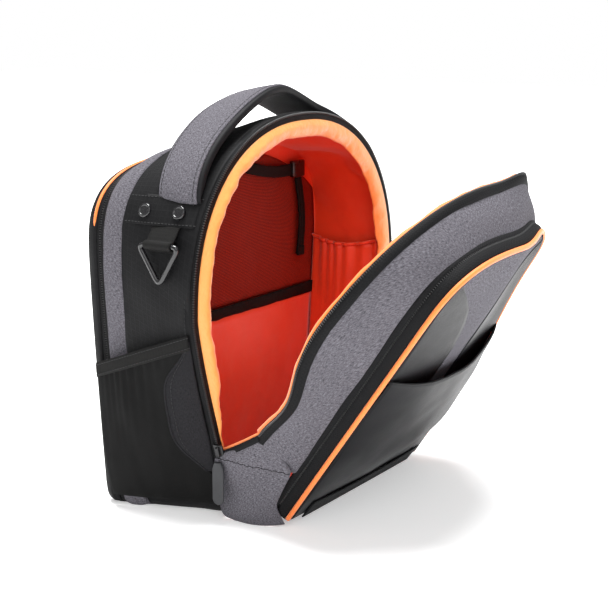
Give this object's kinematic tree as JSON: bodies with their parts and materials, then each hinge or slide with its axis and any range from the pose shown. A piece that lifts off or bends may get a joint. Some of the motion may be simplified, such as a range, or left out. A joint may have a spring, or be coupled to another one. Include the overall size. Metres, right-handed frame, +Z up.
{
  "type": "flight bag",
  "caption": "Padded crew backpack with a zipped front half that swings open, front organizer, side mesh pockets, D-rings and a top carry handle.",
  "frame": {"origin": "centre of the bounding box on the ground plane, with the flap open at rest", "axes": "+X across the bag to its wearer-facing right seen from the front, +Y towards the back panel, +Z up"},
  "size_m": [0.3448, 0.3194, 0.3475],
  "materials": {
    "black_nylon": "matte fine ripstop weave",
    "heather": "matte flecked heather weave",
    "black_mesh": "open stretch mesh",
    "zip_tape": "woven tape and coil zip",
    "orange_satin": "thin satin lining",
    "apricot_satin": "crinkled satin facing",
    "orange_piping": "woven piping",
    "red_mesh": "mesh over satin",
    "rubber_pull": "moulded rubber",
    "grey_cord": "rubber coated cord",
    "plastic": "moulded",
    "dark_metal": "black enamel"
  },
  "bodies": {
    "root": {"body_shell": "black_nylon", "rear_gusset": "heather", "rear_zip_band": "zip_tape", "main_zip_band": "zip_tape", "lower_front_gusset": "heather", "inner_lining": "orange_satin", "rim_facing": "apricot_satin", "divider_panel": "black_nylon", "inner_mesh_pocket": "red_mesh", "inner_lower_pocket": "orange_satin", "inner_pocket_elastic": "zip_tape", "inner_side_pocket_left": "orange_satin", "inner_side_pocket_right": "orange_satin", "hanger_strap": "zip_tape", "hanger_buckle": "plastic", "hanger_tail": "zip_tape", "side_pocket_left": "black_mesh", "pocket_band_left": "zip_tape", "side_panel_left": "heather", "side_pocket_right": "black_mesh", "pocket_band_right": "zip_tape", "side_panel_right": "heather", "anchor_patch_left": "black_nylon", "snap_front_left": "plastic", "snap_rear_left": "plastic", "anchor_patch_right": "black_nylon", "snap_front_right": "plastic", "snap_rear_right": "plastic", "handle_pad": "black_nylon", "handle_strap": "heather", "d_ring_loop_left": "zip_tape", "d_ring_loop_right": "zip_tape"},
    "front_flap": {"flap_zip_band": "zip_tape", "flap_gusset": "heather", "flap_lining": "orange_satin", "flap_facing": "orange_piping", "organizer_divider": "black_nylon", "organizer_gusset": "black_nylon", "organizer_zip": "zip_tape", "organizer_slip_pocket": "black_mesh"},
    "organizer_cover": {"front_panel": "heather", "front_piping": "orange_piping", "front_pocket": "black_nylon", "front_pocket_hem": "zip_tape", "front_binding": "zip_tape"},
    "rear_cover": {"back_panel": "black_nylon", "rear_piping": "orange_piping"},
    "d_ring_left": {"d_ring_left": "plastic"},
    "main_slider_left": {"main_slider_left": "dark_metal"},
    "main_pull_left": {"main_pull_left": "rubber_pull"},
    "rear_slider_left": {"rear_slider_left": "dark_metal"},
    "rear_pull_left": {"rear_pull_left": "grey_cord"},
    "d_ring_right": {"d_ring_right": "plastic"},
    "main_slider_right": {"main_slider_right": "dark_metal"},
    "main_pull_right": {"main_pull_right": "rubber_pull"},
    "rear_slider_right": {"rear_slider_right": "dark_metal"},
    "rear_pull_right": {"rear_pull_right": "grey_cord"},
    "organizer_slider": {"organizer_slider": "dark_metal"},
    "organizer_pull": {"organizer_pull": "rubber_pull"}
  },
  "joints": [
    {"name": "flap_hinge", "type": "hinge", "parent": "root", "child": "front_flap", "pos_m": [0, 0.0393, 0.016], "axis": [1, 0, 0], "range_deg": [-34.5, 0]},
    {"name": "organizer_hinge", "type": "hinge", "parent": "front_flap", "child": "organizer_cover", "pos_m": [0, -0.00241, 0.00554], "axis": [1, 0, 0], "range_deg": [0, 35]},
    {"name": "rear_cover_hinge", "type": "hinge", "parent": "root", "child": "rear_cover", "pos_m": [0, 0.1486, 0.0006], "axis": [-1, 0, 0], "range_deg": [0, 20]},
    {"name": "d_ring_turn_left", "type": "hinge", "parent": "root", "child": "d_ring_left", "pos_m": [-0.16138, 0.0793, 0.232], "axis": [0, 1, 0], "range_deg": [0, 62]},
    {"name": "main_zip_slide_left", "type": "slide", "parent": "root", "child": "main_slider_left", "axis": [-0.3149, 0, 0.9491], "range_m": [0, 0.04]},
    {"name": "main_pull_turn_left", "type": "hinge", "parent": "main_slider_left", "child": "main_pull_left", "pos_m": [-0.13249, 0.0453, 0.0546], "axis": [0, 1, 0], "range_deg": [0, 70]},
    {"name": "rear_zip_slide_left", "type": "slide", "parent": "root", "child": "rear_slider_left", "axis": [-0.0759, 0, 0.9971], "range_m": [0, 0.05]},
    {"name": "rear_pull_turn_left", "type": "hinge", "parent": "rear_slider_left", "child": "rear_pull_left", "pos_m": [-0.14948, 0.1443, 0.0776], "axis": [0, 1, 0], "range_deg": [0, 70]},
    {"name": "d_ring_turn_right", "type": "hinge", "parent": "root", "child": "d_ring_right", "pos_m": [0.16138, 0.0793, 0.232], "axis": [0, -1, 0], "range_deg": [0, 62]},
    {"name": "main_zip_slide_right", "type": "slide", "parent": "root", "child": "main_slider_right", "axis": [0.3149, 0, 0.9491], "range_m": [0, 0.04]},
    {"name": "main_pull_turn_right", "type": "hinge", "parent": "main_slider_right", "child": "main_pull_right", "pos_m": [0.13249, 0.0453, 0.0546], "axis": [0, -1, 0], "range_deg": [0, 70]},
    {"name": "rear_zip_slide_right", "type": "slide", "parent": "root", "child": "rear_slider_right", "axis": [0.0759, 0, 0.9971], "range_m": [0, 0.05]},
    {"name": "rear_pull_turn_right", "type": "hinge", "parent": "rear_slider_right", "child": "rear_pull_right", "pos_m": [0.14948, 0.1443, 0.0776], "axis": [0, -1, 0], "range_deg": [0, 70]},
    {"name": "organizer_zip_slide", "type": "slide", "parent": "front_flap", "child": "organizer_slider", "axis": [-0.0219, -0.5663, 0.8239], "range_m": [0, 0.03]},
    {"name": "organizer_pull_turn", "type": "hinge", "parent": "organizer_slider", "child": "organizer_pull", "pos_m": [0.11217, -0.03128, 0.06044], "axis": [0, -0.8241, -0.5664], "range_deg": [0, 60]}
  ]
}
